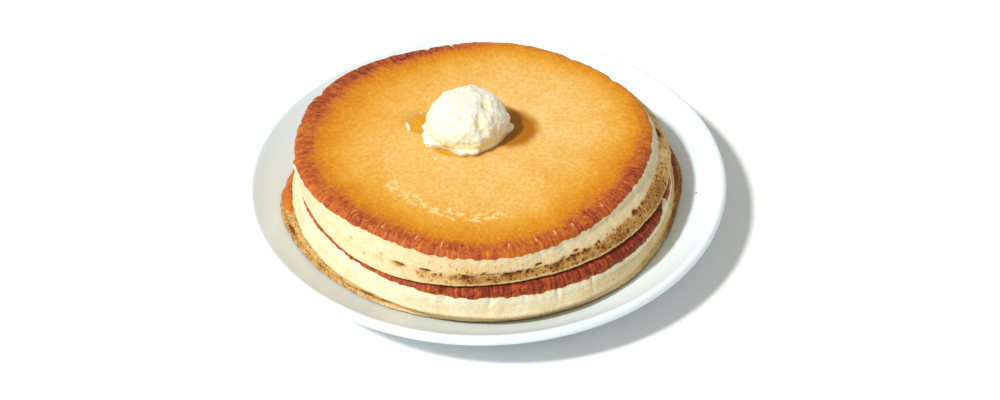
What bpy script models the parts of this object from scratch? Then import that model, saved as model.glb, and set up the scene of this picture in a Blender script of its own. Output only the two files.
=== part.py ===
# Three pancakes in a stack with a scoop of whipped butter, on their round plate.
# The origin is the middle of the plate's foot on the table, +Z is up, lengths are metres.

import math

import bmesh
import bpy
from mathutils import Vector, noise

MM = 0.001
GAP = 0.3 * MM                      # clearance between pieces that touch

# The plate: a shallow dish whose inner wall curves up to a rolled rim.
RIM_RADIUS = 102.5 * MM
RIM_HEIGHT = 20.0 * MM
RIM_BEAD = 2.0 * MM                 # radius of the rolled rim's section
WELL_RADIUS = 66.0 * MM             # where the flat well turns into the wall
WELL_HEIGHT = 6.5 * MM
WALL_TOP_RADIUS = 99.2 * MM
WALL_TOP_HEIGHT = 19.5 * MM
FOOT_RADIUS = 55.0 * MM             # middle of the foot ring
FOOT_WIDTH = 5.0 * MM
FOOT_HEIGHT = 2.5 * MM
FOOT_EDGE = 0.6 * MM                # bevel at the foot ring's two lower edges
UNDERSIDE_RADIUS = 62.0 * MM        # where the underside starts to rise
PLATE_SEGMENTS = 80

# The pancakes, lowest first. An outline is a circle (middle x, y and radius) with lobes, each
# (waves round the edge, height, direction of the first crest in degrees). The lip is the
# outline of the lower edge and the face is the outline of the browned upper side. A pancake is
# soft, so part of the rise of the plate's wall shows in its lower and upper side.
PANCAKE_SEGMENTS = 72
PANCAKES = (
    dict(
        name="pancake_bottom",
        base=WELL_HEIGHT + GAP, top=15.0 * MM, crown=0.0,
        lower_rise=1.0, upper_rise=0.3,
        lip=(-1.5 * MM, 0.0, 84.4 * MM, ((2, 2.4 * MM, 0), (3, 0.5 * MM, 48))),
        face=(-1.5 * MM, 0.0, 82.6 * MM, ((2, 2.2 * MM, 0), (5, 0.6 * MM, 30))),
        colour=(0.50, 0.24, 0.07),
    ),
    dict(
        name="pancake_middle",
        base=15.0 * MM + GAP, top=27.2 * MM, crown=0.0,
        lower_rise=0.3, upper_rise=0.2,
        lip=(-1.2 * MM, -4.6 * MM, 81.3 * MM, ((3, 0.7 * MM, 40), (5, 0.4 * MM, 12))),
        face=(0.2 * MM, -6.5 * MM, 77.3 * MM, ((2, 0.4 * MM, 0), (5, 0.7 * MM, -29))),
        colour=(0.42, 0.17, 0.05),
    ),
    dict(
        name="pancake_top",
        base=27.2 * MM + GAP, top=41.2 * MM, crown=0.5 * MM,
        lower_rise=0.2, upper_rise=0.0,
        lip=(-1.2 * MM, -3.6 * MM, 78.1 * MM, ((2, 0.7 * MM, 20), (3, 0.7 * MM, 9), (5, 0.7 * MM, 25))),
        face=(-4.4 * MM, -3.5 * MM, 73.5 * MM, ((2, 1.9 * MM, -9), (3, 1.4 * MM, 36), (4, 0.9 * MM, 2))),
        colour=(0.72, 0.40, 0.12),
    ),
)
# Rings round a pancake's edge, from the underside up and over to the face:
# (how far the outline has gone from face to lip, inset, share of the thickness).
EDGE_RINGS = (
    (1.00, 2.2 * MM, 0.00),
    (1.00, 0.3 * MM, 0.06),
    (0.97, 0.4 * MM, 0.18),         # the thin lip ends here
    (0.55, 1.3 * MM, 0.42),         # crease half way up the side
    (0.20, 0.2 * MM, 0.66),
    (0.00, 0.1 * MM, 0.80),
    (0.00, 1.1 * MM, 0.93),
    (0.00, 3.6 * MM, 1.00),
)
UNDERSIDE_RINGS = (0.40, 0.74, 0.83, 0.92)      # shares of the lip outline's radius
FACE_RINGS = (0.86, 0.62, 0.32)                 # shares of the face outline's radius

# The scoop of butter: a rough dome on a thin collar.
BUTTER_CENTRE = (-7.6 * MM, 0.8 * MM)
BUTTER_DOME_RADIUS = 17.7 * MM
BUTTER_COLLAR_RADIUS = 18.9 * MM
BUTTER_HEIGHT = 18.2 * MM
BUTTER_COLLAR_HEIGHT = 1.4 * MM
BUTTER_ROUGHNESS = 0.7 * MM
BUTTER_SEGMENTS = 40
BUTTER_DOME_RINGS = 9


def new_object(name, mesh_builder, colour, roughness):
    """Wraps a bmesh in a named object with its own material, shaded smooth but for its edges."""
    mesh = bpy.data.meshes.new(name)
    bmesh.ops.recalc_face_normals(mesh_builder, faces=mesh_builder.faces)
    mesh_builder.to_mesh(mesh)
    mesh_builder.free()
    mesh.shade_smooth()
    mesh.set_sharp_from_angle(angle=math.radians(50))
    material = bpy.data.materials.new(name)
    material.use_nodes = True
    shader = material.node_tree.nodes["Principled BSDF"]
    shader.inputs["Base Color"].default_value = (*colour, 1.0)
    shader.inputs["Roughness"].default_value = roughness
    shader.inputs["Metallic"].default_value = 0.0
    mesh.materials.append(material)
    piece = bpy.data.objects.new(name, mesh)
    bpy.context.collection.objects.link(piece)
    return piece


def skin_rings(low_pole, rings, high_pole):
    """A closed skin over rings of points that lie one above the other, from pole to pole."""
    builder = bmesh.new()
    loops = [[builder.verts.new(point) for point in ring] for ring in rings]
    count = len(rings[0])
    for lower, upper in zip(loops, loops[1:]):
        for i in range(count):
            j = (i + 1) % count
            builder.faces.new((lower[i], lower[j], upper[j], upper[i]))
    for pole, loop in ((low_pole, loops[0]), (high_pole, loops[-1])):
        tip = builder.verts.new(pole)
        for i in range(count):
            builder.faces.new((tip, loop[i], loop[(i + 1) % count]))
    return builder


def wall_rise(x, y):
    """How far the plate's inner wall has risen above the well, at a place on the plate."""
    share = max(0.0, math.hypot(x, y) - WELL_RADIUS) / (WALL_TOP_RADIUS - WELL_RADIUS)
    return (WALL_TOP_HEIGHT - WELL_HEIGHT) * min(share, 1.0) ** 2


def plate_profile():
    """Half of the plate's section, from the middle of its underside round to the middle of its well."""
    inner, outer = FOOT_RADIUS - FOOT_WIDTH / 2, FOOT_RADIUS + FOOT_WIDTH / 2
    bead = Vector((RIM_RADIUS - RIM_BEAD, RIM_HEIGHT - RIM_BEAD))
    points = [
        (0.0, FOOT_HEIGHT),
        (inner - FOOT_EDGE, FOOT_HEIGHT),
        (inner, FOOT_EDGE),
        (inner + FOOT_EDGE, 0.0),
        (outer - FOOT_EDGE, 0.0),
        (outer, FOOT_EDGE),
        (outer + FOOT_EDGE, FOOT_HEIGHT),
    ]
    under_rim = bead + RIM_BEAD * Vector((math.cos(math.radians(-60)), math.sin(math.radians(-60))))
    for share in (0.0, 0.3, 0.55, 0.78):
        radius = UNDERSIDE_RADIUS + share * (under_rim.x - UNDERSIDE_RADIUS)
        points.append((radius, FOOT_HEIGHT + share ** 2 * (under_rim.y - FOOT_HEIGHT)))
    for angle in range(-60, 131, 38):
        turn = math.radians(angle)
        points.append(tuple(bead + RIM_BEAD * Vector((math.cos(turn), math.sin(turn)))))
    for share in (0.86, 0.72, 0.58, 0.42, 0.24, 0.0):
        radius = WELL_RADIUS + share * (WALL_TOP_RADIUS - WELL_RADIUS)
        points.append((radius, WELL_HEIGHT + wall_rise(radius, 0.0)))
    points.append((0.0, WELL_HEIGHT))
    return points


def build_plate():
    """Turns the plate's section about the vertical axis."""
    builder = bmesh.new()
    section = [builder.verts.new((radius, 0.0, height)) for radius, height in plate_profile()]
    edges = [builder.edges.new(pair) for pair in zip(section, section[1:])]
    bmesh.ops.spin(
        builder, geom=section + edges, cent=(0, 0, 0), axis=(0, 0, 1),
        angle=math.tau, steps=PLATE_SEGMENTS, use_duplicate=False,
    )
    bmesh.ops.remove_doubles(builder, verts=builder.verts, dist=0.01 * MM)
    new_object("plate", builder, colour=(0.86, 0.87, 0.87), roughness=0.12)


def outline_point(outline, angle, inset=0.0, share=1.0):
    """A point on a lobed outline, or inside it by an inset and a share of its radius."""
    x, y, radius, lobes = outline
    for waves, height, crest in lobes:
        radius += height * math.cos(waves * (angle - math.radians(crest)))
    reach = radius * share - inset
    return Vector((x + reach * math.cos(angle), y + reach * math.sin(angle)))


def pancake_point(cake, flat, level):
    """Raises a point in plan to a share of the pancake's thickness above its draped underside."""
    rise = wall_rise(flat.x, flat.y)
    low = cake["base"] + cake["lower_rise"] * rise
    high = cake["top"] + cake["upper_rise"] * rise
    x, y, radius, _ = cake["face"]
    off_centre = min(1.0, math.hypot(flat.x - x, flat.y - y) / radius)
    crown = cake["crown"] * (1.0 - off_centre ** 2) * level
    return (flat.x, flat.y, low + level * (high - low) + crown)


def build_pancake(cake):
    """Skins a pancake: draped underside, thin lip, creased side, rolled edge and browned face."""
    angles = [math.tau * i / PANCAKE_SEGMENTS for i in range(PANCAKE_SEGMENTS)]
    rings = []
    for share in UNDERSIDE_RINGS:
        rings.append([pancake_point(cake, outline_point(cake["lip"], a, share=share), 0.0) for a in angles])
    for toward_lip, inset, level in EDGE_RINGS:
        ring = []
        for angle in angles:
            face = outline_point(cake["face"], angle, inset)
            lip = outline_point(cake["lip"], angle, inset)
            ring.append(pancake_point(cake, face.lerp(lip, toward_lip), level))
        rings.append(ring)
    for share in FACE_RINGS:
        rings.append([pancake_point(cake, outline_point(cake["face"], a, share=share), 1.0) for a in angles])
    low_pole = pancake_point(cake, Vector(cake["lip"][:2]), 0.0)
    high_pole = pancake_point(cake, Vector(cake["face"][:2]), 1.0)
    builder = skin_rings(low_pole, rings, high_pole)
    new_object(cake["name"], builder, colour=cake["colour"], roughness=0.6)


def build_butter(under):
    """Skins the scoop: flat base, uneven collar and a rough dome, on the face of a pancake."""
    base = under["top"] + under["crown"] + GAP
    x, y = BUTTER_CENTRE
    sections = [(BUTTER_COLLAR_RADIUS - 1.2 * MM, 0.0), (BUTTER_COLLAR_RADIUS, BUTTER_COLLAR_HEIGHT / 2)]
    sections.append((BUTTER_DOME_RADIUS + 0.3 * MM, BUTTER_COLLAR_HEIGHT))
    for i in range(1, BUTTER_DOME_RINGS):
        turn = 0.5 * math.pi * i / BUTTER_DOME_RINGS
        height = BUTTER_COLLAR_HEIGHT + (BUTTER_HEIGHT - BUTTER_COLLAR_HEIGHT) * math.sin(turn)
        sections.append((BUTTER_DOME_RADIUS * math.cos(turn), height))
    rings = []
    for radius, height in sections:
        ring = []
        for i in range(BUTTER_SEGMENTS):
            angle = math.tau * i / BUTTER_SEGMENTS
            direction = Vector((math.cos(angle), math.sin(angle), height / BUTTER_HEIGHT))
            lump = BUTTER_ROUGHNESS * noise.noise(direction * 2.4)
            reach = radius + lump
            lift = lump * height / BUTTER_HEIGHT
            ring.append((x + reach * math.cos(angle), y + reach * math.sin(angle), base + height + lift))
        rings.append(ring)
    builder = skin_rings((x, y, base), rings, (x, y, base + BUTTER_HEIGHT))
    new_object("butter_scoop", builder, colour=(0.92, 0.86, 0.66), roughness=0.45)


def main():
    for old in list(bpy.data.objects):
        bpy.data.objects.remove(old, do_unlink=True)
    build_plate()
    for cake in PANCAKES:
        build_pancake(cake)
    build_butter(PANCAKES[-1])


main()
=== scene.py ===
import math

import bpy
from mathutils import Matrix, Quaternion, Vector, noise


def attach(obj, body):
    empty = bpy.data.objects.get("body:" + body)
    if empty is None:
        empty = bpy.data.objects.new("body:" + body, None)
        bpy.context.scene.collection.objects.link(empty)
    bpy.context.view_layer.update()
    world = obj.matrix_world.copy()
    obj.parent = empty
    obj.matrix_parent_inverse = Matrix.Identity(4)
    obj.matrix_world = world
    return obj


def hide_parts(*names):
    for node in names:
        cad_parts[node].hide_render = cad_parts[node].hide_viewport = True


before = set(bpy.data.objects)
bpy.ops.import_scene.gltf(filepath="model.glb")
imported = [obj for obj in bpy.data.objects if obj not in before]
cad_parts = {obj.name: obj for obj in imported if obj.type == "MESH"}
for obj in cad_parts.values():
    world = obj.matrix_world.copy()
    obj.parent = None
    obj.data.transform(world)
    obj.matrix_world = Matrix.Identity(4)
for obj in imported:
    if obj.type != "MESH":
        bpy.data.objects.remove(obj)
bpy.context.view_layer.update()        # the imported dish: plate, three pancakes and a scoop of butter, in metres
mm = 0.001
print("frame loaded:", ", ".join(sorted(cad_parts)))


# all lengths below are in millimetres until a point is placed

def mix(low, high, share):
    return low + (high - low) * share


def clip(value):
    return min(1.0, max(0.0, value))


def ramp(value, low, high):
    # 0 at low, 1 at high, with soft ends
    share = clip((value - low) / (high - low))
    return share * share * (3 - 2 * share)


def hump(value, middle, halfWidth):
    # 1 at the middle, fading to 0 about two half widths away
    return math.exp(-((value - middle) / halfWidth) ** 2)


def between(stops, value):
    # reads a curve drawn through (place, value) stops
    if value <= stops[0][0]:
        return stops[0][1]
    for (place, low), (nextPlace, high) in zip(stops, stops[1:]):
        if value <= nextPlace:
            return mix(low, high, (value - place) / (nextPlace - place))
    return stops[-1][1]


def around(stops, degrees):
    # the same, but the curve closes on itself round the edge
    first, last = stops[0], stops[-1]
    closed = [(last[0] - 360, last[1])] + list(stops) + [(first[0] + 360, first[1])]
    degrees %= 360
    for (place, low), (nextPlace, high) in zip(closed, closed[1:]):
        if place <= degrees <= nextPlace:
            return mix(low, high, ramp(degrees, place, nextPlace))
    return stops[0][1]


def turnBetween(degrees, other):
    # the shorter way round from one direction to another
    return (degrees - other + 180) % 360 - 180


def rough(x, y, z, size):
    # smooth random value, about -1 to 1, that changes over the size
    return noise.noise(Vector((x / size, y / size, z / size)))


def speckle(x, y, z, size):
    # rough() with finer and finer detail on top
    return noise.fractal(Vector((x / size, y / size, z / size)), 0.9, 2.1, 4)


def steps(low, high, count):
    return [mix(low, high, i / count) for i in range(count + 1)]


def spinSection(name, section, segments):
    # one point is extruded along a section, which is then turned round the upright axis
    bpy.ops.object.select_all(action="DESELECT")
    bpy.ops.mesh.primitive_plane_add(size=mm, location=(0, 0, 0))
    piece = bpy.context.object
    piece.name = name
    piece.data.name = name
    bpy.ops.object.mode_set(mode="EDIT")
    bpy.ops.mesh.select_all(action="SELECT")
    bpy.ops.mesh.merge(type="CENTER")
    radius, height = section[0]
    bpy.ops.transform.translate(value=(radius * mm, 0, height * mm))
    for (radius, height), (nextRadius, nextHeight) in zip(section, section[1:]):
        step = ((nextRadius - radius) * mm, 0, (nextHeight - height) * mm)
        bpy.ops.mesh.extrude_region_move(TRANSFORM_OT_translate={"value": step})
    bpy.ops.object.mode_set(mode="OBJECT")
    screw = piece.modifiers.new("turn", "SCREW")
    screw.axis, screw.angle = "Z", math.tau
    screw.steps = screw.render_steps = segments
    bpy.ops.object.modifier_apply(modifier=screw.name)
    bpy.ops.object.mode_set(mode="EDIT")
    bpy.ops.mesh.select_all(action="SELECT")
    bpy.ops.mesh.remove_doubles(threshold=0.004 * mm)
    bpy.ops.mesh.normals_make_consistent(inside=False)
    bpy.ops.object.mode_set(mode="OBJECT")
    bpy.ops.object.shade_smooth()
    return piece


def keepValues(piece, values):
    # stores lists of numbers on the points, for the materials to read
    for label, numbers in values.items():
        if isinstance(numbers[0], float):
            layer = piece.data.attributes.new(label, "FLOAT", "POINT")
            layer.data.foreach_set("value", numbers)
        else:
            layer = piece.data.attributes.new(label, "FLOAT_VECTOR", "POINT")
            layer.data.foreach_set("vector", [number for vector in numbers for number in vector])


def finishPiece(piece, material, node):
    piece.data.materials.clear()
    piece.data.materials.append(material)
    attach(piece, "root")
    if node:
        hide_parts(node)
    print("made", piece.name, "with", len(piece.data.polygons), "faces")


def addNode(tree, kind, sockets=None, **settings):
    # one node with its settings; a socket takes a value or another node's output
    node = tree.nodes.new(kind)
    for label, value in settings.items():
        setattr(node, label, value)
    for label, value in (sockets or {}).items():
        socket = node.inputs[label]
        if isinstance(value, bpy.types.NodeSocket):
            tree.links.new(value, socket)
        else:
            socket.default_value = value
    return node


def plus(tree, first, second):
    return addNode(tree, "ShaderNodeMath", {0: first, 1: second}, operation="ADD").outputs[0]


def minus(tree, first, second):
    return addNode(tree, "ShaderNodeMath", {0: first, 1: second}, operation="SUBTRACT").outputs[0]


def times(tree, first, second):
    return addNode(tree, "ShaderNodeMath", {0: first, 1: second}, operation="MULTIPLY").outputs[0]


def sway(tree, value, amount):
    # a noise value, which is about a half, becomes a shift up or down
    return times(tree, minus(tree, value, 0.5), amount)


def softStep(tree, value, low, high):
    sockets = {0: value, 1: low, 2: high}
    return addNode(tree, "ShaderNodeMapRange", sockets, interpolation_type="SMOOTHSTEP").outputs[0]


def rescale(tree, value, low, high, newLow, newHigh):
    sockets = {0: value, 1: low, 2: high, 3: newLow, 4: newHigh}
    return addNode(tree, "ShaderNodeMapRange", sockets).outputs[0]


def noiseMap(tree, place, scale, detail):
    sockets = {"Vector": place, "Scale": scale, "Detail": detail}
    return addNode(tree, "ShaderNodeTexNoise", sockets).outputs[0]


def storedValue(tree, label):
    return addNode(tree, "ShaderNodeAttribute", attribute_name=label).outputs["Fac"]


def colourMix(tree, share, first, second):
    node = addNode(tree, "ShaderNodeMix", data_type="RGBA")
    for label, value in ((0, share), (6, first), (7, second)):
        if isinstance(value, bpy.types.NodeSocket):
            tree.links.new(value, node.inputs[label])
        else:
            node.inputs[label].default_value = value
    return node.outputs[2]


def colourRamp(tree, value, stops):
    node = addNode(tree, "ShaderNodeValToRGB", {0: value})
    for place, _ in stops[1:-1]:
        node.color_ramp.elements.new(place)
    for element, (place, colour) in zip(node.color_ramp.elements, stops):
        element.position = place
        element.color = colour
    return node.outputs[0]


def paint(red, green, blue):
    # a colour as a screen shows it, 0 to 255, for a socket
    channels = []
    for channel in (red, green, blue):
        share = channel / 255
        channels.append(share / 12.92 if share < 0.04045 else ((share + 0.055) / 1.055) ** 2.4)
    return (*channels, 1.0)


def newGroup(name, inputs, outputs):
    tree = bpy.data.node_groups.new(name, "ShaderNodeTree")
    for label, kind in inputs:
        tree.interface.new_socket(name=label, in_out="INPUT", socket_type=kind)
    for label, kind in outputs:
        tree.interface.new_socket(name=label, in_out="OUTPUT", socket_type=kind)
    return tree, tree.nodes.new("NodeGroupInput").outputs, tree.nodes.new("NodeGroupOutput").inputs


def newMaterial(name, colour, roughness, **fixed):
    material = bpy.data.materials.new(name)
    material.use_nodes = True
    tree = material.node_tree
    shader = tree.nodes["Principled BSDF"]
    shader.inputs["Base Color"].default_value = colour
    shader.inputs["Roughness"].default_value = roughness
    for label, value in fixed.items():
        shader.inputs[label.replace("_", " ")].default_value = value
    return material, tree, shader


def millimetrePlace(tree):
    place = addNode(tree, "ShaderNodeTexCoord").outputs["Object"]
    sockets = {0: place, "Scale": 1 / mm}
    return addNode(tree, "ShaderNodeVectorMath", sockets, operation="SCALE").outputs[0]


def addBump(tree, shader, height, distance, strength=1.0):
    sockets = {"Height": height, "Distance": distance * mm, "Strength": strength}
    bump = addNode(tree, "ShaderNodeBump", sockets)
    tree.links.new(bump.outputs[0], shader.inputs["Normal"])


plateValues = {
    "rimRadius": 102.5, "rimHeight": 20.0, "rimBead": 2.0,
    "wellRadius": 66.0, "wellHeight": 6.5,
    "wallTopRadius": 99.2, "wallTopHeight": 19.5,
    "footRadius": 55.0, "footWidth": 5.0, "footHeight": 2.5, "footEdge": 0.6,
    "undersideRadius": 62.0, "wellFlat": 60.0,
    "beadStart": -60, "beadEnd": 125,       # where the rolled rim starts and ends, in degrees
    "closest": 0.02,                        # nearer points of the section become one
    "segments": 256,
    "glazeColour": paint(237, 250, 255), "pooledColour": paint(220, 234, 246),
    "footColour": paint(226, 220, 208),
    "glazeRoughness": 0.22, "roughnessLow": 0.18, "roughnessHigh": 0.27, "bareRoughness": 0.5,
}


def wallRise(x, y):
    # how far the plate's inner wall has risen above its well
    dish = plateValues
    share = (math.hypot(x, y) - dish["wellRadius"]) / (dish["wallTopRadius"] - dish["wellRadius"])
    return (dish["wallTopHeight"] - dish["wellHeight"]) * clip(share) ** 2


def arcPoints(x, z, radius, start, end, count):
    # points along an arc of the section, about a middle, between two angles in degrees
    turns = [math.radians(turn) for turn in steps(start, end, count)]
    return [(x + radius * math.cos(turn), z + radius * math.sin(turn)) for turn in turns]


def plateSection():
    dish = plateValues
    inner = dish["footRadius"] - dish["footWidth"] / 2
    outer = dish["footRadius"] + dish["footWidth"] / 2
    edge, foot = dish["footEdge"], dish["footHeight"]
    bead, beadX = dish["rimBead"], dish["rimRadius"] - dish["rimBead"]
    beadZ = dish["rimHeight"] - bead
    section = [(radius, foot) for radius in steps(0, inner - 2 * edge, 8)]
    section += [(inner - edge, foot - 0.1 * edge), (inner - 0.3 * edge, foot - 0.6 * edge)]
    section.append((inner, edge))
    section += arcPoints(inner + edge, edge, edge, 180, 270, 4)
    section += arcPoints(outer - edge, edge, edge, 270, 360, 4)
    section += [(outer + 0.3 * edge, foot - 0.6 * edge), (outer + edge, foot - 0.1 * edge)]
    rim = arcPoints(beadX, beadZ, bead, dish["beadStart"], dish["beadEnd"], 26)
    endX, endZ = rim[0]
    for share in steps(0, 0.96, 20):        # the underside of the wall
        section.append((mix(dish["undersideRadius"], endX, share), mix(foot, endZ, share ** 2)))
    section += rim
    for share in steps(0.95, 0.0, 24):      # the wall's inner face, down to the well
        radius = mix(dish["wellRadius"], dish["wallTopRadius"], share)
        section.append((radius, dish["wellHeight"] + wallRise(radius, 0)))
    section += [(radius, dish["wellHeight"]) for radius in steps(dish["wellFlat"], 0, 8)]
    clean = [section[0]]
    for point in section[1:]:
        if math.dist(point, clean[-1]) > dish["closest"]:
            clean.append(point)
    return clean


def plateMaterial():
    dish = plateValues
    material, tree, shader = newMaterial(
        "plateGlaze", dish["glazeColour"], dish["glazeRoughness"],
        Coat_Weight=0.25, Coat_Roughness=0.12,
    )
    place = millimetrePlace(tree)
    height = addNode(tree, "ShaderNodeSeparateXYZ", {0: place}).outputs["Z"]
    bare = softStep(tree, height, 0.45, 0.15)       # the foot ring stands unglazed
    cloud = noiseMap(tree, place, 0.02, 2.0)
    pooled = rescale(tree, cloud, 0.35, 0.65, 0.0, 0.06)
    glaze = colourMix(tree, pooled, dish["glazeColour"], dish["pooledColour"])
    tree.links.new(colourMix(tree, bare, glaze, dish["footColour"]), shader.inputs["Base Color"])
    smear = noiseMap(tree, place, 0.07, 3.0)
    gloss = rescale(tree, smear, 0.3, 0.7, dish["roughnessLow"], dish["roughnessHigh"])
    dull = times(tree, bare, dish["bareRoughness"])
    tree.links.new(plus(tree, gloss, dull), shader.inputs["Roughness"])
    wave = noiseMap(tree, place, 0.045, 1.0)
    grit = noiseMap(tree, place, 2.2, 3.0)
    addBump(tree, shader, plus(tree, wave, times(tree, grit, bare)), 0.12)
    return material


def makePlate():
    plate = spinSection("glazedPlate", plateSection(), plateValues["segments"])
    finishPiece(plate, plateMaterial(), "plate")


# An outline is a middle, a radius and lobes (waves round the edge, height, direction of a crest).
# The lip is the outline of the lower edge, and the face is the outline of the browned upper side.
# Directions are in degrees: 0 is to the right, 90 is away from the front, 270 is the front.

cakeValues = {
    "segments": 760,
    "rollStart": 0.80, "rollInset": 3.8,        # where the side rolls over into the face
    "footEnd": 0.08, "footInset": 2.0,          # the small round at the lower edge
    "waistStart": 0.08, "waistEnd": 0.78,       # between them the side runs from lip to face
    "edgeCircle": 75.0,                         # the circle on which the edge's unevenness is read
    "tornWidth": 1.6,                           # how soft the end of the crust is
    "streakLength": 3.5,                        # how much longer than wide the crust's streaks are
    "poreWidth": 2.3, "poreHeight": 1.7, "poreDepth": 0.55,
    "brownBand": (                              # browning by distance inside the edge
        (-3.0, 0.82), (0.5, 0.85), (4.2, 0.82), (5.4, 0.70), (7.0, 0.61), (9.0, 0.53), (11.5, 0.44),
        (14.5, 0.34), (18.0, 0.26), (22.0, 0.19), (28.0, 0.14), (36.0, 0.115), (50.0, 0.08),
    ),
    "crustColours": (                           # from the golden middle to the dark edge
        (0.0, paint(239, 199, 126)), (0.12, paint(234, 182, 94)), (0.28, paint(227, 163, 58)),
        (0.42, paint(219, 147, 36)), (0.55, paint(211, 132, 26)), (0.67, paint(201, 114, 36)),
        (0.80, paint(183, 91, 44)), (0.92, paint(154, 65, 38)), (1.0, paint(116, 47, 30)),
    ),
    # the darker stops are partly painted shade in pores, pits and the crease
    "crumbColours": (                           # from the smooth cream side to the dark pores
        (0.0, paint(240, 233, 200)), (0.18, paint(237, 216, 172)), (0.38, paint(228, 196, 140)),
        (0.58, paint(204, 164, 98)), (0.78, paint(160, 110, 54)), (1.0, paint(104, 56, 22)),
    ),
    "crustRoughness": (0.62, 0.42), "crumbRoughness": 0.8,
    "plainColour": paint(231, 178, 92), "fleckColour": paint(243, 213, 148),
    # the soak-and-shadow colour is painted shadow beside the butter on the top face, and melted butter soaked in
    # round the scoop
    "soakAndShadowColour": paint(174, 104, 10), "fringeColour": paint(214, 140, 58),
}

bottomCake = {
    "name": "bottomPancake", "node": "pancake_bottom", "slot": "pancake_low", "seed": 31.0,
    "base": 6.8, "top": 15.0, "crown": 0.0, "lowerRise": 1.0, "upperRise": 0.3,
    "lip": (-1.5, 0.0, 84.4, ((2, 2.4, 0), (3, 0.5, 48))),
    "face": (-1.5, 0.0, 82.6, ((2, 2.2, 0), (5, 0.6, 30))),
    "sideRings": 20, "faceRings": 12, "faceStep": 1.0, "innerRings": 5,
    "crustLevel": (
        (0, 0.48), (60, 0.75), (120, 0.72), (166, 0.55), (174, 0.20), (184, 0.16), (189, 0.40),
        (195, 1.02), (240, 1.04), (300, 1.0), (341, 1.0), (351, 0.60),
    ),
    "bandWidth": ((0, 1.3), (90, 1.1), (180, 1.3), (270, 0.9)),
    "darkness": (
        (0, 1.22), (90, 0.9), (180, 0.88), (230, 0.75), (270, 0.72), (320, 0.75), (345, 1.10),
    ),
    "crease": ((0, 0.3), (180, 0.4), (270, 0.3)), "creaseLevel": ((0, 0.40),),
    # tan and shade by direction: the side's baked tan, with painted shade where the lower band lies recessed and
    # on the right side, away from the sun
    "tanAndShade": (
        (0, 0.75), (90, 0.6), (180, 0.45), (215, 0.42), (240, 0.30), (262, 0.12), (300, 0.12),
        (325, 0.40), (345, 0.75),
    ),
    "tuck": (
        (10, 0.0), (140, 0.0), (152, 3.0), (172, 3.4), (178, 2.2), (184, 0.8), (190, 0.0),
        (312, 0.0), (330, 2.2), (346, 2.6),
    ),
    "footTan": 0.62,
    "faceTan": ((180, 0.60), (225, 0.58), (246, 0.40), (262, 0.12), (310, 0.12), (330, 0.35)),
    "pores": 0.35,
    "nicks": ((183, 1.2, 0.7), (176, 0.8, 0.6), (12, 1.4, 0.9), (352, 1.0, 0.7)),
    "pits": ((200, 0.45, 1.4, 1.2, 0.8), (236, 0.5, 2.6, 0.8, 0.7), (241, 0.45, 1.8, 0.8, 0.6)),
}

middleCake = {
    "name": "middlePancake", "node": "pancake_middle", "slot": "pancake_mid", "seed": 17.0,
    "base": 15.3, "top": 27.2, "crown": 0.0, "lowerRise": 0.3, "upperRise": 0.2,
    "lip": (-1.2, -4.6, 81.3, ((3, 0.7, 40), (5, 0.4, 12))),
    "face": (0.2, -6.5, 77.3, ((2, 0.4, 0), (5, 0.7, -29))),
    "sideRings": 26, "faceRings": 14, "faceStep": 0.9, "innerRings": 6,
    "crustLevel": (
        (90, 0.74), (180, 0.86), (205, 0.82), (243, 0.79), (258, 0.72), (272, 0.68), (290, 0.63),
        (318, 0.62), (333, 0.70), (343, 1.0), (343.2, 0.74),
    ),
    "bandWidth": ((0, 1.2), (90, 1.0), (180, 1.0), (270, 1.3)),
    "darkness": ((0, 1.05), (90, 0.92), (180, 0.95), (250, 1.04), (270, 1.13), (330, 1.17)),
    "crease": ((0, 0.4), (90, 0.6), (180, 0.3), (270, 0.15)), "creaseLevel": ((0, 0.38),),
    "tanAndShade": ((0, 0.50), (90, 0.40), (180, 0.14), (270, 0.10), (340, 0.35)),
    "footTan": 0.30, "faceTan": ((0, 0.12), (180, 0.06), (225, 0.06), (270, 0.0), (315, 0.04)),
    "droop": ((235, 0.0), (255, 1.6), (280, 2.2), (315, 1.8), (338, 0.0)), "pores": 0.15,
    "nicks": (
        (258, 1.6, 1.1), (271, 0.5, 1.0), (281, 0.4, 0.5), (291, 0.6, 1.3), (302, 0.5, 0.7),
        (315, 0.6, 1.2), (326, 0.6, 0.8),
    ),
    "pits": (),
}

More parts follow.
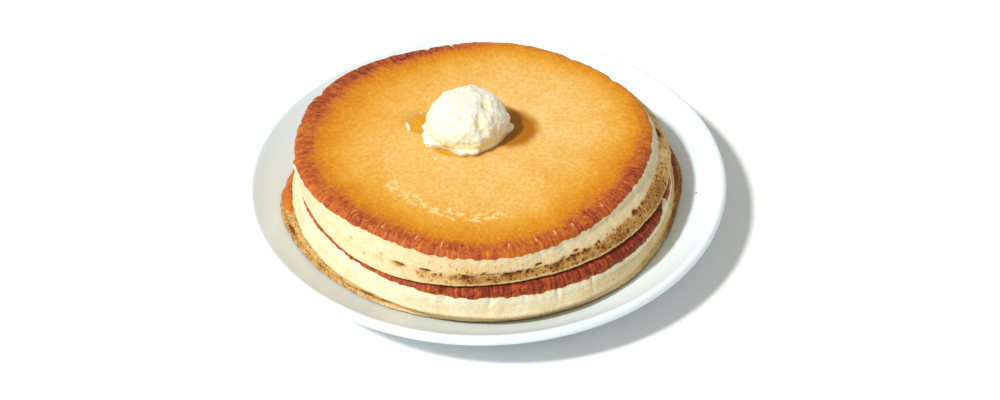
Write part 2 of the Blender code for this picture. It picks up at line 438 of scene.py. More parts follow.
topCake = {
    "name": "topPancake", "node": "pancake_top", "slot": "pancake_high", "seed": 5.0,
    "base": 27.5, "top": 41.2, "crown": 0.5, "lowerRise": 0.2, "upperRise": 0.0,
    "lip": (-1.2, -3.6, 78.1, ((2, 0.7, 20), (3, 0.7, 9), (4, 0.45, -10), (5, 0.7, 25))),
    "face": (
        -4.4, -3.5, 73.5, ((2, 1.9, -9), (3, 1.4, 36), (4, 0.9, 2), (5, 0.6, -3), (6, 0.4, 21)),
    ),
    "sideRings": 30, "faceRings": 36, "faceStep": 0.72, "innerRings": 20,
    "crustLevel": (
        (0, 0.90), (60, 0.84), (90, 0.76), (150, 0.74), (190, 0.80), (235, 0.82), (270, 0.83),
        (310, 0.84), (335, 0.90),
    ),
    "bandWidth": (
        (15, 0.85), (60, 0.85), (100, 1.0), (135, 1.55), (165, 1.50), (200, 1.30), (250, 1.12),
        (290, 1.08), (330, 1.2),
    ),
    "darkness": (
        (15, 0.70), (40, 0.66), (75, 0.70), (98, 0.98), (120, 1.06), (150, 1.04), (170, 0.98),
        (188, 0.92), (208, 0.91), (228, 0.95), (255, 0.94), (285, 0.94), (305, 0.98), (330, 1.02),
        (350, 0.92),
    ),
    "crease": (
        (0, 0.5), (60, 0.6), (120, 0.4), (200, 0.15), (240, 0.3), (262, 0.9), (280, 1.1),
        (298, 0.9), (312, 0.5), (340, 0.35),
    ),
    "creaseLevel": ((0, 0.46), (240, 0.37), (262, 0.32), (285, 0.31), (310, 0.37), (335, 0.46)),
    "tanAndShade": (
        (0, 0.50), (60, 0.45), (150, 0.30), (215, 0.16), (245, 0.24), (258, 0.48), (268, 0.76),
        (285, 0.70), (300, 0.68), (320, 0.72), (340, 0.72),
    ),
    "footTan": 0.22,
    "faceTan": (
        (0, 0.06), (180, 0.14), (225, 0.15), (250, 0.22), (266, 0.26), (278, 0.18), (290, 0.10),
        (320, 0.10),
    ),
    "pores": 0.8,
    "nicks": (
        (153, 1.3, 1.5), (169, 1.0, 0.9), (189, 0.9, -0.9), (108, 0.6, 0.9), (99, 0.6, 0.8),
        (258, 1.2, 0.4), (53, 2.0, 0.7), (34, 2.2, 0.6), (212, 1.4, 0.5), (298, 1.6, 0.5),
        (317, 1.5, 0.5), (356, 18.0, 1.5),
    ),
    "pits": (
        (245, 0.37, 2.0, 0.42, 1.6), (254, 0.38, 1.5, 0.38, 1.6), (227, 0.46, 0.5, 0.5, 0.6),
        (239, 0.44, 0.6, 0.5, 0.5), (265, 0.30, 0.7, 0.5, 0.9), (272, 0.36, 1.6, 0.4, 0.6),
        (288, 0.44, 1.2, 0.5, 1.0), (296, 0.40, 0.6, 0.5, 0.7), (301, 0.44, 0.9, 0.6, 1.0),
        (309, 0.40, 0.6, 0.5, 0.7), (327, 0.42, 0.8, 0.6, 0.8), (8, 0.4, 1.8, 0.7, 1.0),
        (70, 0.42, 2.0, 0.7, 1.0), (128, 0.40, 1.6, 0.6, 0.8),
    ),
}


def outlineReach(outline, angle):
    _, _, radius, lobes = outline
    for waves, height, crest in lobes:
        radius += height * math.cos(waves * (angle - math.radians(crest)))
    return radius


def cakeSection(cake):
    # half of a round cake's section, from the middle of its underside to the middle of its face
    shared = cakeValues
    faceRadius, lipRadius = cake["face"][2], cake["lip"][2]
    thick = cake["top"] - cake["base"]
    section = [(lipRadius * share, 0.0) for share in (0.0, 0.3, 0.55, 0.74, 0.85, 0.92)]
    for turn in steps(0, 90, 5)[:-1]:
        inset = shared["footInset"] * (1 - math.sin(math.radians(turn)))
        section.append((lipRadius - inset, shared["footEnd"] * (1 - math.cos(math.radians(turn)))))
    for level in steps(shared["footEnd"], shared["rollStart"], cake["sideRings"])[:-1]:
        section.append((mix(faceRadius, lipRadius, towardLip(level)), level))
    for turn in steps(0, 90, 12):
        inset = shared["rollInset"] * (1 - math.cos(math.radians(turn)))
        level = mix(shared["rollStart"], 1.0, math.sin(math.radians(turn)))
        section.append((faceRadius - inset, level))
    inner = faceRadius - shared["rollInset"] - cake["faceRings"] * cake["faceStep"]
    for radius in steps(faceRadius - shared["rollInset"], inner, cake["faceRings"])[1:]:
        section.append((radius, 1.0))
    for radius in steps(inner, 0.0, cake["innerRings"])[1:]:
        section.append((radius, 1.0))
    return [(radius, cake["base"] + level * thick) for radius, level in section]


def towardLip(level):
    # how far the side has gone from the face's outline to the lip's
    return 1 - ramp(level, cakeValues["waistStart"], cakeValues["waistEnd"])


def edgeValues(cake):
    # everything that depends on the direction only, once for each segment
    count, circle, seed = cakeValues["segments"], cakeValues["edgeCircle"], cake["seed"]
    table = []
    for i in range(count):
        angle = math.tau * i / count
        degrees = math.degrees(angle)
        x, y = math.cos(angle) * circle, math.sin(angle) * circle
        cut = sum(depth * hump(turnBetween(degrees, place), 0, width)
                  for place, width, depth in cake["nicks"])
        ragged = 0.42 * rough(x, y, seed, 6.0) + 0.26 * rough(x, y, seed + 9, 2.2)
        tuck = around(cake["tuck"], degrees) if "tuck" in cake else 0.0
        jag = 0.040 * rough(x, y, seed + 40, 4.5) + 0.045 * rough(x, y, seed + 50, 1.7)
        wide = 1 + 0.16 * rough(x, y, seed + 60, 14.0)
        creaseSway = 0.035 * rough(x, y, seed + 80, 16.0)
        table.append({
            "face": outlineReach(cake["face"], angle) - tuck - cut + ragged,
            "lip": outlineReach(cake["lip"], angle) - tuck + 0.3 * rough(x, y, seed + 20, 9.0),
            "cut": cut,
            "crustLevel": around(cake["crustLevel"], degrees) + jag - 0.03 * cut,
            "bandWidth": around(cake["bandWidth"], degrees) * wide,
            "darkness": around(cake["darkness"], degrees) + 0.06 * rough(x, y, seed + 70, 10.0),
            "crease": around(cake["crease"], degrees),
            "creaseLevel": around(cake["creaseLevel"], degrees) + creaseSway,
            "faceTan": around(cake["faceTan"], degrees),
            "droop": around(cake["droop"], degrees) if "droop" in cake else 0.0,
            # baked tan with painted shade, by direction
            "tanAndShade": around(cake["tanAndShade"], degrees) + 0.10 * rough(x, y, seed + 90, 9.0),
        })
    return table


def sideRelief(cake, edge, degrees, level, x, y, z):
    # how far the side stands in or out, and how much painted shade the point takes in the crease, pits and pores
    shared, seed = cakeValues, cake["seed"]
    thick = cake["top"] - cake["base"]
    broken = 0.3 + 0.7 * ramp(rough(x, y, seed, 4.0), -0.25, 0.25)
    push = -edge["crease"] * hump(level, edge["creaseLevel"], 0.07)
    # painted shade along the crease under the bulge
    shadeAndTint = 0.42 * broken * edge["crease"] * hump(level, edge["creaseLevel"] - 0.01, 0.042)
    push += 0.35 * hump(level, 0.62, 0.16) + 0.45 * hump(level, 0.12, 0.055)      # two soft bulges
    for place, pitLevel, width, tall, depth in cake["pits"]:
        turn = turnBetween(degrees, place)
        if abs(turn) < 3 * width:
            dip = hump(turn, 0, width) * hump(level * thick, pitLevel * thick, tall)
            push -= depth * dip
            # painted shade in the pit
            shadeAndTint += 0.9 * dip * min(1.0, depth)
    lower = ramp(level, 0.50, 0.40) * ramp(level, 0.10, 0.20)
    amount = cake["pores"] * (0.25 + 0.75 * ramp(edge["tanAndShade"], 0.1, 0.6)) * (0.25 + 0.75 * lower)
    width, height = shared["poreWidth"], shared["poreHeight"]
    near, _ = noise.voronoi(Vector((x / width, y / width, z / height)))
    spread = ramp(rough(x, y, z + seed, 3.0), 0.15 - 0.5 * amount, 0.40 - 0.5 * amount)
    pore = ramp(near[0], 0.42, 0.12) * spread
    push -= shared["poreDepth"] * pore * amount
    # painted shade in the pores
    shadeAndTint += 0.7 * pore * amount
    push += 0.20 * speckle(x, y, z, 4.0) + 0.12 * rough(x, y, z, 1.4)
    return push, shadeAndTint


def faceRelief(inward, x, y, seed):
    # fine wrinkles and blisters of the browned side
    browned = ramp(inward, 20, 3)
    lift = mix(0.05, 0.24, browned) * speckle(x, y, seed, 3.4)
    lift += mix(0.02, 0.15, browned) * rough(x, y, seed, 1.3)
    lift += 0.16 * rough(x, y, seed, 24.0) * ramp(inward, 4, 12)
    return lift


# marks on the top face; each round mark (painted shadow patch, span of the real cast shadow, soaked ring, soaked
# film) is its middle (x, y), then where it ends and is full
faceMarks = {
    "fleckReach": 49.5, "fleckSway": 1.6, "fleckWidth": 3.2,      # pale torn flecks along an arc
    "fleckStart": (214, 224), "fleckEnd": (292, 276),             # where they fade in and out
    "faintReach": 43, "faintWidth": 5, "faintAmount": 0.35,       # fainter ones inside it
    "faintStart": (190, 215), "faintEnd": (320, 290),
    "sliverReach": 69.0, "sliverLength": 2.3, "sliverWidth": 0.42, "sliverAmount": 0.55,
    "slivers": (224, 237, 250, 259, 281, 290, 297, 304, 318),     # pale tears across the brown edge
    # the first patch is painted shadow that carries the butter's cast shadow further right; inside the real cast
    # shadow's span it is a little weaker; the ring and film are butter soaked in
    "paintedShadowPatch": (9.3, 1.5, 15.4, 10.6), "soakRing": (-7.6, 0.4, 20.5, 17.5),
    "soakFilm": (-28.0, 8.5, 10.0, 4.0), "castShadowSpan": (-1.3, 4.1, 16.0, 19.5),
    "ringAmount": 0.35, "filmAmount": 0.3, "paintedShadowInCastShadow": 0.92,
}


def fleckAmount(x, y, reach, degrees):
    # pale torn flecks on the front of the top face, and tears across its brown edge
    marks = faceMarks
    arcReach = marks["fleckReach"] + marks["fleckSway"] * math.sin(math.radians(degrees * 3))
    arc = hump(reach, arcReach, marks["fleckWidth"])
    sector = ramp(degrees, *marks["fleckStart"]) * ramp(degrees, *marks["fleckEnd"])
    torn = ramp(speckle(reach / 1.6, degrees / 3.2, 3.0, 1.0), -0.10, 0.30)
    faint = marks["faintAmount"] * hump(reach, marks["faintReach"], marks["faintWidth"])
    faint *= ramp(degrees, *marks["faintStart"]) * ramp(degrees, *marks["faintEnd"])
    faint *= ramp(speckle(x, y, 8.0, 3.0), 0.15, 0.6)
    nearest = min(abs(turnBetween(degrees, place)) for place in marks["slivers"])
    sliver = hump(nearest, 0, marks["sliverWidth"])
    sliver *= hump(reach, marks["sliverReach"], marks["sliverLength"])
    return arc * sector * torn + faint + marks["sliverAmount"] * sliver


def soakAndShadowAmount(x, y):
    # a painted shadow beside the scoop, reaching further than the butter's real cast shadow and a little weaker
    # inside it, darkens the top face; melted butter soaked into the cake round the scoop's foot and in a film at
    # its left darkens it too
    marks = faceMarks
    wavy = 1.2 * rough(x, y, 4.0, 5.0)

    def near(mark, waves):
        middleX, middleY, end, full = marks[mark]
        return ramp(math.hypot(x - middleX, y - middleY) + waves, end, full)

    paintedShadow = near("paintedShadowPatch", wavy) * mix(marks["paintedShadowInCastShadow"], 1.0, near("castShadowSpan", 0.0))
    ring = marks["ringAmount"] * near("soakRing", wavy)
    film = marks["filmAmount"] * near("soakFilm", wavy)
    return max(paintedShadow, ring, film)


def sideTanAndShade(cake, edge, level, shadeAndTint):
    # how tan a point of the side is, above the crease, below it and at the foot; the tan is partly the side's
    # baked colour and partly painted shade on the recessed band below the crease and on the side away from the
    # sun, and the painted shade of the crease, pits and pores is added on top
    crease, tanAndShade = edge["creaseLevel"], edge["tanAndShade"]
    toned = tanAndShade * ramp(level, crease + 0.12, crease - 0.08)
    toned = mix(toned, cake["footTan"], ramp(level, 0.17, 0.10))
    toned = max(toned, edge["faceTan"] + 0.25 * max(0.0, tanAndShade - 0.2) * ramp(level, 0.85, 0.45))
    return clip(toned + shadeAndTint)


def makePancake(cake, material):
    shared = cakeValues
    segments, rollStart, circle = shared["segments"], shared["rollStart"], shared["edgeCircle"]
    cakePiece = spinSection(cake["name"], cakeSection(cake), segments)
    table = edgeValues(cake)
    thick = cake["top"] - cake["base"]
    faceX, faceY, faceRadius, _ = cake["face"]
    lipX, lipY, lipRadius, _ = cake["lip"]
    brown, side, tanAndShade, pale, soakAndShadow, grain = [], [], [], [], [], []
    for vertex in cakePiece.data.vertices:
        radius = math.hypot(vertex.co.x, vertex.co.y) / mm
        angle = math.atan2(vertex.co.y, vertex.co.x) % math.tau
        degrees = math.degrees(angle)
        level = (vertex.co.z / mm - cake["base"]) / thick       # 0 at the underside, 1 at the face
        edge = table[round(angle / math.tau * segments) % segments]
        toLip = towardLip(level)
        share = radius / mix(faceRadius, lipRadius, toLip)      # 0 in the middle, 1 at the edge
        reach = share * mix(edge["face"], edge["lip"], toLip)
        rolled = clip((level - rollStart) / (1 - rollStart))
        upright = math.sqrt(1 - rolled * rolled) * ramp(level, 0.0, 0.06)
        inward = (1 - share) * faceRadius if level > 0.5 else 0.0
        x = mix(faceX, lipX, toLip) + reach * math.cos(angle)
        y = mix(faceY, lipY, toLip) + reach * math.sin(angle)
        rise = wallRise(x, y)                                   # the lower cakes rest on the wall
        low = cake["base"] + cake["lowerRise"] * rise
        high = cake["top"] + cake["upperRise"] * rise
        z = mix(low, high, level)
        push, shadeAndTint = 0.0, 0.0
        if upright > 0.01:
            push, shadeAndTint = sideRelief(cake, edge, degrees, level, x, y, z)
        lift = faceRelief(inward, x, y, cake["seed"]) if rolled > 0 else 0.0
        notch = 0.35 * edge["cut"] * rolled * ramp(inward, 7, 1)
        z += cake["crown"] * (1 - share ** 2) * level - notch
        z -= edge["droop"] * ramp(level, 0.45, 0.0) * ramp(share, 0.92, 0.985)
        x += push * upright * math.cos(angle)
        y += push * upright * math.sin(angle)
        z += lift * rolled
        vertex.co = (x * mm, y * mm, z * mm)
        aboveCrust = (level - edge["crustLevel"]) * thick
        side.append(clip(0.5 - aboveCrust / shared["tornWidth"]))
        overEdge = min(0.0, (level - 0.9) * thick)
        toast = between(shared["brownBand"], (inward - 1.0 + overEdge) / edge["bandWidth"])
        brown.append(clip(toast * edge["darkness"]))
        tanAndShade.append(sideTanAndShade(cake, edge, level, shadeAndTint))
        onTop = cake is topCake and level > 0.99
        pale.append(fleckAmount(x, y, share * faceRadius, degrees) if onTop else 0.0)
        # painted shadow beside the butter and soaked butter, on the top face only
        soakAndShadow.append(soakAndShadowAmount(x, y) if onTop else 0.0)
        along = (inward - level * thick) / shared["streakLength"]
        grain.append((circle * math.cos(angle), circle * math.sin(angle), along))
    cakePiece.data.update()
    keepValues(cakePiece, {"brown": brown, "side": side, "tanAndShade": tanAndShade, "pale": pale,
                           "soakAndShadow": soakAndShadow, "grain": grain})
    finishPiece(cakePiece, material, cake["node"])


def crustGroup():
    # browned griddle side: a golden middle, an orange band and a dark mottled edge
    tree, given, out = newGroup(
        "griddleCrust",
        (("Brown", "NodeSocketFloat"), ("Place", "NodeSocketVector"),
         ("Grain", "NodeSocketVector")),
        (("Color", "NodeSocketColor"), ("Roughness", "NodeSocketFloat"),
         ("Height", "NodeSocketFloat")),
    )
    shared = cakeValues
    brown, place, grain = given["Brown"], given["Place"], given["Grain"]
    cloud = noiseMap(tree, place, 0.11, 3.0)
    mottle = noiseMap(tree, place, 0.55, 5.0)
    fine = noiseMap(tree, place, 1.5, 3.0)
    streak = noiseMap(tree, grain, 0.75, 3.0)
    sockets = {"Vector": place, "Scale": 0.85, "Smoothness": 0.4}
    blister = addNode(tree, "ShaderNodeTexVoronoi", sockets, feature="SMOOTH_F1").outputs["Distance"]
    band = softStep(tree, brown, 0.12, 0.60)
    deep = softStep(tree, brown, 0.45, 0.85)
    shift = sway(tree, cloud, 0.22)
    calm = minus(tree, 0.46, times(tree, band, 0.12))
    mottled = sway(tree, mottle, calm)
    fined = sway(tree, fine, minus(tree, 0.38, times(tree, band, 0.08)))
    streaked = sway(tree, streak, times(tree, deep, 0.58))
    dotted = times(tree, minus(tree, blister, 0.42), times(tree, band, 0.10))
    spark = noiseMap(tree, grain, 1.7, 1.0)
    golden = times(tree, softStep(tree, spark, 0.58, 0.70), times(tree, band, 0.17))
    total = minus(tree, plus(tree, brown, shift), golden)
    for part in (mottled, fined, streaked, dotted):
        total = plus(tree, total, part)
    tree.links.new(colourRamp(tree, total, shared["crustColours"]), out["Color"])
    tree.links.new(rescale(tree, total, 0.0, 1.0, *shared["crustRoughness"]), out["Roughness"])
    raised = plus(tree, times(tree, mottle, 0.5), times(tree, fine, 0.35))
    raised = plus(tree, raised, times(tree, streak, times(tree, deep, 0.5)))
    raised = minus(tree, raised, times(tree, blister, 0.4))
    tree.links.new(times(tree, raised, plus(tree, times(tree, band, 0.8), 0.3)), out["Height"])
    return tree


def crumbGroup():
    # the soft side: cream where it rose smooth, tan and full of pores where it was torn or pressed; its tan
    # carries painted shade too, and the pores are painted darker as shade in the holes
    tree, given, out = newGroup(
        "softCrumb",
        (("TanAndShade", "NodeSocketFloat"), ("Place", "NodeSocketVector")),
        (("Color", "NodeSocketColor"), ("Height", "NodeSocketFloat")),
    )
    tanAndShade, place = given["TanAndShade"], given["Place"]
    cloud = noiseMap(tree, place, 0.22, 3.0)
    fine = noiseMap(tree, place, 1.3, 4.0)
    cells = addNode(tree, "ShaderNodeTexVoronoi", {"Vector": place, "Scale": 0.85}, feature="F1")
    lottery = addNode(tree, "ShaderNodeSeparateColor", {0: cells.outputs["Color"]}).outputs[0]
    hole = softStep(tree, cells.outputs["Distance"], 0.42, 0.16)
    luck = minus(tree, times(tree, softStep(tree, tanAndShade, 0.12, 0.75), 0.75), lottery)
    pore = times(tree, hole, softStep(tree, luck, -0.05, 0.05))      # the tanner, the more holes
    total = plus(tree, tanAndShade, sway(tree, cloud, 0.34))
    total = plus(tree, total, sway(tree, fine, 0.42))
    # painted shade in the pores
    total = plus(tree, total, times(tree, pore, 0.22))
    tree.links.new(colourRamp(tree, total, cakeValues["crumbColours"]), out["Color"])
    tree.links.new(minus(tree, fine, times(tree, pore, 0.9)), out["Height"])
    return tree


def pancakeMaterial(name, crust, crumb):
    shared = cakeValues
    material, tree, shader = newMaterial(name, shared["plainColour"], 0.6, Specular_IOR_Level=0.12)
    place = millimetrePlace(tree)
    grain = addNode(tree, "ShaderNodeAttribute", attribute_name="grain").outputs["Vector"]
    crustOut = addNode(tree, "ShaderNodeGroup", node_tree=crust)
    crumbOut = addNode(tree, "ShaderNodeGroup", node_tree=crumb)
    tree.links.new(storedValue(tree, "brown"), crustOut.inputs["Brown"])
    tree.links.new(place, crustOut.inputs["Place"])
    tree.links.new(grain, crustOut.inputs["Grain"])
    tree.links.new(storedValue(tree, "tanAndShade"), crumbOut.inputs["TanAndShade"])
    tree.links.new(place, crumbOut.inputs["Place"])
    jag = noiseMap(tree, place, 0.8, 3.0)
    torn = plus(tree, storedValue(tree, "side"), sway(tree, jag, 0.5))
    isSide = softStep(tree, torn, 0.44, 0.56)
    fringe = times(tree, softStep(tree, torn, 0.30, 0.46), softStep(tree, torn, 0.66, 0.50))
    pale = storedValue(tree, "pale")
    flecked = plus(tree, pale, sway(tree, jag, 0.8))
    isFleck = times(tree, softStep(tree, flecked, 0.24, 0.52), softStep(tree, pale, 0.02, 0.2))
    fleckShare = times(tree, isFleck, 0.75)
    colour = colourMix(tree, fleckShare, crustOut.outputs["Color"], shared["fleckColour"])
    # painted shadow beside the butter, and melted butter soaked in, darken the top face
    colour = colourMix(tree, storedValue(tree, "soakAndShadow"), colour, shared["soakAndShadowColour"])
    colour = colourMix(tree, isSide, colour, crumbOut.outputs["Color"])
    colour = colourMix(tree, times(tree, fringe, 0.55), colour, shared["fringeColour"])
    tree.links.new(colour, shader.inputs["Base Color"])
    sockets = {0: isSide, 2: crustOut.outputs["Roughness"], 3: shared["crumbRoughness"]}
    dull = addNode(tree, "ShaderNodeMix", sockets, data_type="FLOAT")
    tree.links.new(dull.outputs[0], shader.inputs["Roughness"])
    sockets = {0: isSide, 2: crustOut.outputs["Height"], 3: crumbOut.outputs["Height"]}
    height = addNode(tree, "ShaderNodeMix", sockets, data_type="FLOAT")
    addBump(tree, shader, minus(tree, height.outputs[0], times(tree, isSide, 0.35)), 0.45, 0.8)
    return material


butterValues = {
    "x": -7.3, "y": 0.8, "base": 41.6, "height": 17.0,
    "domeRadius": 17.7, "waist": 1.3, "fullness": 2.5,
    "shoulder": 0.62,                # below this share of the height the rings lie at even heights
    "segments": 288, "rings": 96,
    # hollows and knobs: (direction, height angle, width across, width up, depth; a knob is below 0)
    "marks": (
        (334, 62, 8, 7, 1.5), (297, 50, 8, 6, 1.0), (292, 38, 7, 9, 1.1), (306, 45, 5, 10, -0.8),
        (286, 22, 6, 9, -0.9), (302, 15, 15, 9, 1.0), (264, 16, 13, 5, 1.0), (272, 26, 9, 5, 0.5),
        (322, 28, 14, 12, 0.4), (345, 30, 12, 10, -0.5), (216, 34, 8, 6, 0.35),
        (200, 58, 14, 9, 0.25), (238, 52, 11, 7, -0.3), (176, 74, 16, 7, 0.4), (20, 60, 22, 9, 0.4),
        (40, 30, 14, 10, 0.7), (80, 45, 12, 12, -0.6), (110, 25, 16, 9, 0.8), (150, 40, 10, 9, 0.6),
        (250, 70, 18, 6, 0.3), (310, 76, 26, 6, -0.4), (355, 24, 8, 8, -0.8),
    ),
    # lobes of the thin foot: (direction, half width, how far it stands out)
    "lobes": (
        (180, 8, 2.2), (196, 8, 2.9), (212, 10, 4.2), (241, 6, -0.8), (262, 9, 1.7), (279, 8, 1.5),
        (312, 16, -0.2), (357, 9, 2.4), (30, 12, 0.8), (62, 10, 1.2), (100, 12, 0.7), (140, 9, 1.6),
        (165, 6, 0.4),
    ),
    "footHeight": 3.4,
    "lumpSize": 0.6, "ridgeSize": 0.36, "flakeSize": 0.34,
    # the shade-and-tint colour is painted shade in the scoop's dents, troughs and undercut, and a plain tint on
    # the small bits
    "colour": paint(244, 240, 220), "shadeAndTintColour": paint(243, 226, 172),
}


def butterReach(level):
    # a full round scoop, tucked in at its foot
    scoop = butterValues
    full = max(0.0, 1 - level ** scoop["fullness"]) ** (1 / scoop["fullness"])
    return scoop["domeRadius"] * full - scoop["waist"] * hump(level, 0.0, 0.16)


def butterSection():
    scoop = butterValues
    half = scoop["rings"] // 2
    foot, atShoulder = butterReach(0.0), butterReach(scoop["shoulder"])
    section = [(foot * share, 0.0) for share in (0.0, 0.4, 0.7, 0.88, 0.97)]
    for level in steps(0.015, scoop["shoulder"], half):
        section.append((butterReach(level), level * scoop["height"]))
    for share in steps(1.0, 0.0, half)[1:]:
        reach = atShoulder * share
        full = (reach / scoop["domeRadius"]) ** scoop["fullness"]
        section.append((reach, scoop["height"] * (1 - full) ** (1 / scoop["fullness"])))
    return section


def crushedRelief(x, y, z, degrees):
    # the whipped surface: how far a point stands out, and how much painted shade it takes where it lies deep
    scoop = butterValues
    outward = Vector((x, y, z * 0.9)).normalized()
    climb = math.degrees(math.atan2(z, math.hypot(x, y)))
    onDome = ramp(z, 0.8, 3.0)
    push, paintedShade = 0.0, 0.0
    for place, height, across, tall, depth in scoop["marks"]:
        turn = turnBetween(degrees, place) * max(0.2, math.cos(math.radians(climb)))
        if abs(turn) < 3 * across and abs(climb - height) < 3 * tall:
            mark = hump(turn, 0, across) * hump(climb, height, tall)
            push -= depth * mark * onDome
            paintedShade += max(0.0, depth) * mark * 0.5
    lump = noise.noise(outward * 3.1)
    ridge = 1 - abs(noise.noise(outward * 5.2 + Vector((3, 1, 7)))) * 2
    # the right side, away from the sun, is more broken and takes more painted shade
    shaded = 0.45 + 0.55 * ramp(x, -4, 6)       # one side is more broken than the other
    flaky = scoop["flakeSize"] * speckle(*(outward * 17), 3.0) + 0.16 * rough(x, y, z, 1.1)
    ridged = scoop["ridgeSize"] * (ridge - 0.6) * (0.4 + 0.6 * shaded)
    push += (scoop["lumpSize"] * lump + ridged + flaky) * ramp(z, 0.0, 1.5)
    # painted shade in the troughs between lumps and ridges
    paintedShade += (0.3 * ramp(-lump, 0.1, 0.5) + 0.35 * ramp(0.6 - ridge, 0.1, 0.6)) * shaded
    return outward * push, paintedShade


def makeButter(material):
    scoop = butterValues
    footHeight = scoop["footHeight"]
    butter = spinSection("butterScoop", butterSection(), scoop["segments"])
    shadeAndTint = []
    for vertex in butter.data.vertices:
        x, y, z = vertex.co / mm
        radius = math.hypot(x, y)
        degrees = math.degrees(math.atan2(y, x)) % 360
        push, paintedShade = crushedRelief(x, y, z, degrees)
        place = Vector((x, y, z)) + push
        onFoot = ramp(z, footHeight, 0.6 * footHeight) * ramp(radius, 8, 14)
        for direction, width, out in scoop["lobes"]:
            lobe = out * hump(turnBetween(degrees, direction), 0, width) * onFoot
            place.x += lobe * math.cos(math.radians(degrees))
            place.y += lobe * math.sin(math.radians(degrees))
        # painted shade in the undercut below the scoop's bulge, just above the foot
        paintedShade += 0.9 * hump(z, footHeight + 0.6, 1.0) * ramp(radius, 12, 15)
        place.z = max(0.0, min(place.z, scoop["height"])) if z > 0.01 else 0.0
        x, y, z = scoop["x"] + place.x, scoop["y"] + place.y, scoop["base"] + place.z
        vertex.co = (x * mm, y * mm, z * mm)
        shadeAndTint.append(clip(paintedShade))
    butter.data.update()
    keepValues(butter, {"shadeAndTint": shadeAndTint})
    finishPiece(butter, material, "butter_scoop")


def butterMaterial():
    scoop = butterValues
    material, tree, shader = newMaterial(
        "whippedButter", scoop["colour"], 0.45, Subsurface_Weight=0.35, Subsurface_Scale=0.0025,
        Subsurface_Radius=(1.0, 0.8, 0.5),
    )
    place = millimetrePlace(tree)
    shadeAndTint = storedValue(tree, "shadeAndTint")
    grain = noiseMap(tree, place, 0.9, 5.0)
    cloud = noiseMap(tree, place, 0.25, 2.0)
    # deeper yellow where painted shade lies, with a random cloud of tone
    deep = plus(tree, shadeAndTint, sway(tree, cloud, 0.5))
    colour = colourMix(tree, softStep(tree, deep, 0.15, 1.0), scoop["colour"], scoop["shadeAndTintColour"])
    tree.links.new(colour, shader.inputs["Base Color"])
    gloss = rescale(tree, grain, 0.3, 0.7, 0.36, 0.52)
    tree.links.new(gloss, shader.inputs["Roughness"])
    addBump(tree, shader, grain, 0.35, 0.6)
    return material


meltValues = {
    # how far the film reaches from the middle of the scoop: (direction, reach)
    "reach": (
        (0, 17.5), (60, 17.8), (120, 18.6), (141, 21.5), (154, 26.0), (165, 27.5), (176, 26.5),
        (190, 21.0), (225, 20.5), (262, 18.9), (300, 18.4), (330, 17.4),
    ),
    "thickness": 0.32, "sink": 0.12, "segments": 192,
    "inward": 40,                    # the film lies about so far inside the pancake's edge
    "colour": paint(233, 160, 2), "thinColour": paint(234, 184, 84), "cover": 0.95,
}


def meltMaterial():
    melt = meltValues
    material, tree, shader = newMaterial("meltedButter", melt["colour"], 0.2, Specular_IOR_Level=0.3)
    thick = storedValue(tree, "amount")
    colour = colourMix(tree, thick, melt["thinColour"], melt["colour"])
    tree.links.new(colour, shader.inputs["Base Color"])
    tree.links.new(times(tree, thick, melt["cover"]), shader.inputs["Alpha"])
    addBump(tree, shader, noiseMap(tree, millimetrePlace(tree), 0.4, 2.0), 0.25, 0.5)
    return material


def makeMelt():
    melt = meltValues
    section = [(0.0, 0.0), (0.5, 0.0), (0.9, 0.0), (0.985, 0.05), (1.0, 0.3), (0.985, 0.6)]
    section += [(share, 1.0 - ((share - 0.55) / 0.45) ** 4 * 0.3) for share in steps(0.96, 0.55, 8)]
    section += [(0.3, 1.0), (0.0, 1.0)]
    film = spinSection("meltedButter", section, melt["segments"])
    amount = []
    faceX, faceY, faceRadius, _ = topCake["face"]
    for vertex in film.data.vertices:
        share, level = math.hypot(vertex.co.x, vertex.co.y) / mm, vertex.co.z / mm
        degrees = math.degrees(math.atan2(vertex.co.y, vertex.co.x)) % 360
        across, away = math.cos(math.radians(degrees)), math.sin(math.radians(degrees))
        reach = around(melt["reach"], degrees) + 0.5 * rough(3 * across, 3 * away, 2.0, 0.6)
        x = butterValues["x"] + share * reach * across
        y = butterValues["y"] + share * reach * away
        crown = topCake["crown"] * (1 - (math.hypot(x - faceX, y - faceY) / faceRadius) ** 2)
        surface = topCake["top"] + crown + faceRelief(melt["inward"], x, y, topCake["seed"])
        vertex.co = (x * mm, y * mm, (surface - melt["sink"] + level * melt["thickness"]) * mm)
        amount.append(ramp(share, 1.0, 0.86) * (0.55 + 0.45 * ramp(rough(x, y, 6.0, 4.0), -0.4, 0.3)))
    film.data.update()
    keepValues(film, {"amount": amount})
    finishPiece(film, meltMaterial(), None)


# small uneven lumps: (x, y, height of the middle, length, width, thickness, direction)
butterBits = {
    "name": "butterBits", "slot": "butter", "unevenness": 0.28, "bend": 0.35,
    "lumps": (
        (-32.3, 3.4, 41.85, 6.8, 1.6, 0.9, 104), (-20.6, -18.4, 41.75, 1.4, 1.0, 0.6, 160),
        (-27.0, 12.8, 41.8, 1.1, 0.9, 0.6, 0), (-35.6, -1.0, 41.75, 1.0, 0.7, 0.5, 40),
    ),
}
plateCrumb = {
    "name": "plateCrumb", "slot": "pancake_low", "unevenness": 0.28, "bend": 0.35,
    "lumps": ((89.8, -9.4, 13.4, 1.2, 0.8, 0.6, 30),),
    "colour": paint(96, 62, 34),
    "darkColour": paint(130, 104, 72), "paleColour": paint(196, 172, 128),
}


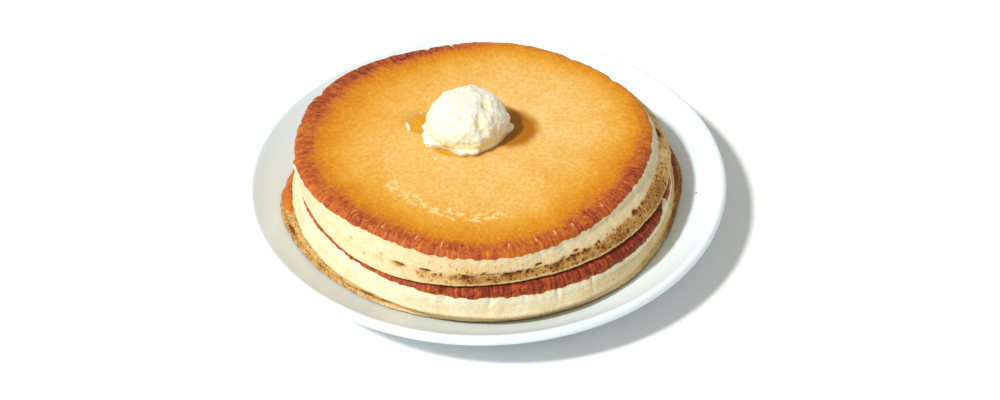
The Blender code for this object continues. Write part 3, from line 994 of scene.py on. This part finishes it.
def makeLumps(bits, material):
    made = []
    for x, y, z, length, width, thickness, direction in bits["lumps"]:
        bpy.ops.object.select_all(action="DESELECT")
        bpy.ops.mesh.primitive_ico_sphere_add(subdivisions=4, radius=1, location=(0, 0, 0))
        lump = bpy.context.object
        turn = math.radians(direction)
        for vertex in lump.data.vertices:
            uneven = noise.noise(vertex.co * 1.7 + Vector((x, y, z)))
            point = vertex.co * (1 + bits["unevenness"] * uneven)
            along = point.x * length / 2
            across = point.y * width / 2 + bits["bend"] * (point.x ** 2) * width / 2
            farX = x + along * math.cos(turn) - across * math.sin(turn)
            farY = y + along * math.sin(turn) + across * math.cos(turn)
            vertex.co = (farX * mm, farY * mm, (z + point.z * thickness / 2) * mm)
        lump.data.update()
        made.append(lump)
    for lump in made:
        lump.select_set(True)
    bpy.context.view_layer.objects.active = made[0]
    bpy.ops.object.join()
    made[0].name = bits["name"]
    made[0].data.name = bits["name"]
    # the small butter bits get a plain tint from the shade-and-tint value; the crumb's material does not read it
    keepValues(made[0], {"shadeAndTint": [0.8] * len(made[0].data.vertices)})
    bpy.ops.object.shade_smooth()
    finishPiece(made[0], material, None)


def crumbMaterial():
    crumbs = plateCrumb
    material, tree, shader = newMaterial(
        "toastedCrumb", crumbs["colour"], 0.8, Specular_IOR_Level=0.2,
    )
    grain = noiseMap(tree, millimetrePlace(tree), 2.5, 3.0)
    colour = colourMix(tree, grain, crumbs["darkColour"], crumbs["paleColour"])
    tree.links.new(colour, shader.inputs["Base Color"])
    addBump(tree, shader, grain, 0.2, 0.6)
    return material


makePlate()
crust, crumb = crustGroup(), crumbGroup()
for cake in (bottomCake, middleCake, topCake):
    makePancake(cake, pancakeMaterial(cake["name"], crust, crumb))
whipped = butterMaterial()
makeButter(whipped)
makeMelt()
makeLumps(butterBits, whipped)
makeLumps(plateCrumb, crumbMaterial())


studioValues = {
    "floorSize": 6000.0, "floorColour": paint(242, 242, 241),
    "sunStrength": 2.92, "sunSpread": 7.0, "sunTravel": (0.57, 0.30, -0.766),
    "skyColour": (1.0, 1.0, 0.95, 1.0), "skyStrength": 0.46,
    "cameraHeight": 40.21, "cameraDistance": 700.0, "cameraRoll": -1.03,
    "lens": 59.99, "sensorWidth": 36,
    "target": (5.7, -19.6, 20.0),
}


def makeFloor():
    studio = studioValues
    bpy.ops.object.select_all(action="DESELECT")
    bpy.ops.mesh.primitive_plane_add(size=studio["floorSize"] * mm, location=(0, 0, 0))
    floor = bpy.context.object
    floor.name = "floor"
    floor.data.materials.append(newMaterial("paleFloor", studio["floorColour"], 0.9)[0])


def makeLights():
    studio = studioValues
    sun = bpy.data.lights.new("softSun", "SUN")
    sun.energy = studio["sunStrength"]
    sun.angle = math.radians(studio["sunSpread"])
    lamp = bpy.data.objects.new("softSun", sun)
    lamp.rotation_euler = Vector(studio["sunTravel"]).to_track_quat("-Z", "Y").to_euler()
    bpy.context.collection.objects.link(lamp)
    world = bpy.data.worlds.new("studio")
    world.use_nodes = True
    sky = world.node_tree.nodes["Background"]
    sky.inputs["Color"].default_value = studio["skyColour"]
    sky.inputs["Strength"].default_value = studio["skyStrength"]
    bpy.context.scene.world = world
    bpy.context.scene.view_settings.view_transform = "Standard"


def makeCamera():
    studio = studioValues
    tilt, roll = math.radians(studio["cameraHeight"]), math.radians(studio["cameraRoll"])
    back = Vector((0, -math.cos(tilt), math.sin(tilt)))
    camera = bpy.data.objects.new("camera", bpy.data.cameras.new("camera"))
    camera.data.lens = studio["lens"]
    camera.data.sensor_width = studio["sensorWidth"]
    camera.data.sensor_fit = "HORIZONTAL"
    camera.data.clip_start = 0.01
    camera.location = (Vector(studio["target"]) + back * studio["cameraDistance"]) * mm
    camera.rotation_mode = "QUATERNION"
    lean = Quaternion((1, 0, 0), math.pi / 2 - tilt)
    camera.rotation_quaternion = lean @ Quaternion((0, 0, 1), roll)
    bpy.context.collection.objects.link(camera)
    bpy.context.scene.camera = camera


makeFloor()
makeLights()
makeCamera()
print("floor, light and camera ready")
